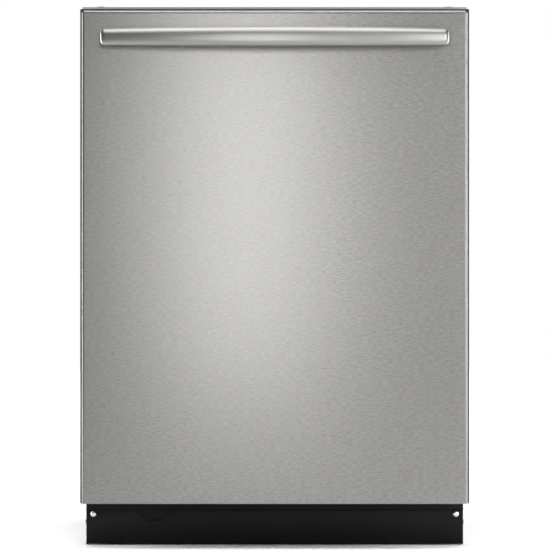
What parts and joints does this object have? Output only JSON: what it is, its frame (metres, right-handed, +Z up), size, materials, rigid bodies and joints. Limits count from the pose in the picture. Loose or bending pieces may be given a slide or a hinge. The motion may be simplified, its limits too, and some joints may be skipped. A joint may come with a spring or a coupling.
{
  "type": "built-in dishwasher",
  "caption": "Built-in dishwasher with a flat steel door, bowed bar handle, black toe kick, steel tub, two wire racks, spray arms, filter and pumps.",
  "frame": {"origin": "middle of the footprint on the floor, under the middle of the overall box", "axes": "+Z up, +X to the right facing the door, and the door faces -Y"},
  "size_m": [0.606, 0.662, 0.8515],
  "materials": {
    "stainless_panel": "horizontal brushed stainless steel",
    "handle_steel": "satin stainless steel tube",
    "tub_steel": "bright rolled stainless sheet",
    "frame_grey": "satin grey painted sheet",
    "kick_black": "black painted steel",
    "base_zinc": "zinc coated steel",
    "screw_steel": "zinc plated screws",
    "spring_steel": "oiled spring wire",
    "heater_tube": "heater sheath, dulled by heat",
    "gasket_rubber": "soft grey sealing rubber",
    "blanket_felt": "felted sound blanket",
    "console_black": "fine moulded black plastic",
    "button_grey": "smooth grey plastic",
    "arm_plastic": "moulded grey plastic",
    "pump_plastic": "moulded black plastic",
    "box_steel": "zinc plated box",
    "rack_vinyl": "vinyl coated steel wire",
    "basket_plastic": "moulded grey plastic",
    "dispenser_plastic": "moulded grey plastic",
    "foot_plastic": "moulded foot"
  },
  "bodies": {
    "cabinet": {"tub_wrapper": "tub_steel", "tub_floor": "tub_steel", "tub_front_frame": "frame_grey", "door_gasket": "gasket_rubber", "sound_blanket": "blanket_felt", "strike_plate": "tub_steel", "base_side_rails": "base_zinc", "base_cross_rails": "base_zinc", "toe_kick_panel": "kick_black", "case_screws": "screw_steel", "countertop_brackets": "base_zinc", "hinge_brackets": "base_zinc", "door_springs": "spring_steel", "sump_and_drain_pump": "pump_plastic", "circulation_pump": "pump_plastic", "inlet_valve": "pump_plastic", "junction_box": "box_steel", "heating_element": "heater_tube", "water_feed_pipe": "arm_plastic", "coarse_filter": "tub_steel", "upper_rack_rails": "tub_steel"},
    "door": {"door_outer_panel": "stainless_panel", "door_inner_panel": "tub_steel", "door_insulation": "blanket_felt", "control_console": "console_black", "door_handle": "handle_steel", "handle_screws": "screw_steel", "detergent_dispenser": "dispenser_plastic", "door_vent": "dispenser_plastic", "door_bottom_seal": "gasket_rubber", "hinge_arms": "base_zinc"},
    "upper_rack": {"upper_rack_wires": "rack_vinyl", "upper_rack_tines": "rack_vinyl", "middle_arm_feed": "arm_plastic"},
    "lower_rack": {"lower_rack_wires": "rack_vinyl", "lower_rack_tines": "rack_vinyl"},
    "lower_rack_wheels_front": {"lower_rack_wheels_front": "basket_plastic"},
    "lower_rack_wheels_middle": {"lower_rack_wheels_middle": "basket_plastic"},
    "lower_rack_wheels_rear": {"lower_rack_wheels_rear": "basket_plastic"},
    "upper_rack_rollers_front": {"upper_rack_rollers_front": "basket_plastic"},
    "upper_rack_rollers_rear": {"upper_rack_rollers_rear": "basket_plastic"},
    "lower_spray_arm": {"lower_spray_arm": "arm_plastic"},
    "middle_spray_arm": {"middle_spray_arm": "arm_plastic"},
    "ceiling_spray_arm": {"ceiling_spray_arm": "arm_plastic"},
    "fine_filter": {"fine_filter": "arm_plastic"},
    "float_cap": {"float_cap": "arm_plastic"},
    "cup_shelf_left": {"cup_shelf_left": "rack_vinyl"},
    "cup_shelf_right": {"cup_shelf_right": "rack_vinyl"},
    "silverware_basket": {"silverware_basket": "basket_plastic"},
    "latch_hook": {"latch_hook": "console_black"},
    "power_button": {"power_button": "button_grey"},
    "cycle_button": {"cycle_button": "button_grey"},
    "options_button": {"options_button": "button_grey"},
    "start_button": {"start_button": "button_grey"},
    "detergent_lid": {"detergent_lid": "dispenser_plastic"},
    "rinse_aid_cap": {"rinse_aid_cap": "dispenser_plastic"},
    "leveling_leg_front_left": {"leveling_leg_front_left": "foot_plastic"},
    "leveling_leg_front_right": {"leveling_leg_front_right": "foot_plastic"},
    "leveling_leg_rear_left": {"leveling_leg_rear_left": "foot_plastic"},
    "leveling_leg_rear_right": {"leveling_leg_rear_right": "foot_plastic"}
  },
  "joints": [
    {"name": "door_hinge", "type": "hinge", "parent": "cabinet", "child": "door", "pos_m": [0, -0.241, 0.103], "axis": [1, 0, 0], "range_deg": [0, 90]},
    {"name": "upper_rack_slide", "type": "slide", "parent": "cabinet", "child": "upper_rack", "axis": [0, -1, 0], "range_m": [0, 0.472]},
    {"name": "lower_rack_slide", "type": "slide", "parent": "cabinet", "child": "lower_rack", "axis": [0, -1, 0], "range_m": [0, 0.1]},
    {"name": "lower_rack_wheels_front_turn", "type": "hinge", "parent": "lower_rack", "child": "lower_rack_wheels_front", "pos_m": [0, -0.118, 0.1672], "axis": [1, 0, 0], "continuous": true},
    {"name": "lower_rack_wheels_middle_turn", "type": "hinge", "parent": "lower_rack", "child": "lower_rack_wheels_middle", "pos_m": [0, 0.064, 0.1672], "axis": [1, 0, 0], "continuous": true},
    {"name": "lower_rack_wheels_rear_turn", "type": "hinge", "parent": "lower_rack", "child": "lower_rack_wheels_rear", "pos_m": [0, 0.248, 0.1672], "axis": [1, 0, 0], "continuous": true},
    {"name": "upper_rack_rollers_front_turn", "type": "hinge", "parent": "upper_rack", "child": "upper_rack_rollers_front", "pos_m": [0, -0.148, 0.56], "axis": [1, 0, 0], "continuous": true},
    {"name": "upper_rack_rollers_rear_turn", "type": "hinge", "parent": "upper_rack", "child": "upper_rack_rollers_rear", "pos_m": [0, 0.264, 0.56], "axis": [1, 0, 0], "continuous": true},
    {"name": "lower_spray_arm_spin", "type": "hinge", "parent": "cabinet", "child": "lower_spray_arm", "pos_m": [0, 0.04325, 0.157], "axis": [0, 0, 1], "continuous": true},
    {"name": "middle_spray_arm_spin", "type": "hinge", "parent": "upper_rack", "child": "middle_spray_arm", "pos_m": [0, 0.04325, 0.49], "axis": [0, 0, 1], "continuous": true},
    {"name": "ceiling_spray_arm_spin", "type": "hinge", "parent": "cabinet", "child": "ceiling_spray_arm", "pos_m": [0, 0.04325, 0.792], "axis": [0, 0, 1], "continuous": true},
    {"name": "fine_filter_twist", "type": "hinge", "parent": "cabinet", "child": "fine_filter", "pos_m": [0.07, -0.03175, 0.135], "axis": [0, 0, 1], "range_deg": [0, 90]},
    {"name": "float_lift", "type": "slide", "parent": "cabinet", "child": "float_cap", "axis": [0, 0, 1], "range_m": [0, 0.012]},
    {"name": "cup_shelf_left_fold", "type": "hinge", "parent": "upper_rack", "child": "cup_shelf_left", "pos_m": [-0.244, 0, 0.612], "axis": [0, -1, 0], "range_deg": [0, 80]},
    {"name": "cup_shelf_right_fold", "type": "hinge", "parent": "upper_rack", "child": "cup_shelf_right", "pos_m": [0.244, 0, 0.612], "axis": [0, 1, 0], "range_deg": [0, 80]},
    {"name": "silverware_basket_lift", "type": "slide", "parent": "lower_rack", "child": "silverware_basket", "axis": [0, 0, 1], "range_m": [0, 0.12]},
    {"name": "latch_hook_turn", "type": "hinge", "parent": "door", "child": "latch_hook", "pos_m": [0, -0.24, 0.829], "axis": [-1, 0, 0], "range_deg": [0, 8]},
    {"name": "power_button_press", "type": "slide", "parent": "door", "child": "power_button", "axis": [0, 0, -1], "range_m": [0, 0.001], "stiffness_N_per_m": 400},
    {"name": "cycle_button_press", "type": "slide", "parent": "door", "child": "cycle_button", "axis": [0, 0, -1], "range_m": [0, 0.001], "stiffness_N_per_m": 400},
    {"name": "options_button_press", "type": "slide", "parent": "door", "child": "options_button", "axis": [0, 0, -1], "range_m": [0, 0.001], "stiffness_N_per_m": 400},
    {"name": "start_button_press", "type": "slide", "parent": "door", "child": "start_button", "axis": [0, 0, -1], "range_m": [0, 0.001], "stiffness_N_per_m": 400},
    {"name": "detergent_lid_open", "type": "hinge", "parent": "door", "child": "detergent_lid", "pos_m": [0.021, -0.2206, 0.3845], "axis": [-1, 0, 0], "range_deg": [0, 100]},
    {"name": "rinse_aid_cap_turn", "type": "hinge", "parent": "door", "child": "rinse_aid_cap", "pos_m": [0.12, -0.224, 0.43], "axis": [0, 1, 0], "range_deg": [0, 90]},
    {"name": "leveling_leg_front_left_extend", "type": "slide", "parent": "cabinet", "child": "leveling_leg_front_left", "axis": [0, 0, -1], "range_m": [0, 0.038]},
    {"name": "leveling_leg_front_right_extend", "type": "slide", "parent": "cabinet", "child": "leveling_leg_front_right", "axis": [0, 0, -1], "range_m": [0, 0.038]},
    {"name": "leveling_leg_rear_left_extend", "type": "slide", "parent": "cabinet", "child": "leveling_leg_rear_left", "axis": [0, 0, -1], "range_m": [0, 0.038]},
    {"name": "leveling_leg_rear_right_extend", "type": "slide", "parent": "cabinet", "child": "leveling_leg_rear_right", "axis": [0, 0, -1], "range_m": [0, 0.038]}
  ],
  "couplings": [
    {"joint": "upper_rack_slide", "follows": "door_hinge", "m_per_rad": 0.3},
    {"joint": "lower_rack_slide", "follows": "door_hinge", "m_per_rad": 0.0636},
    {"joint": "lower_rack_wheels_front_turn", "follows": "door_hinge", "ratio": 3.7412},
    {"joint": "lower_rack_wheels_middle_turn", "follows": "door_hinge", "ratio": 3.7412},
    {"joint": "lower_rack_wheels_rear_turn", "follows": "door_hinge", "ratio": 3.7412},
    {"joint": "upper_rack_rollers_front_turn", "follows": "door_hinge", "ratio": 30},
    {"joint": "upper_rack_rollers_rear_turn", "follows": "door_hinge", "ratio": 30}
  ]
}
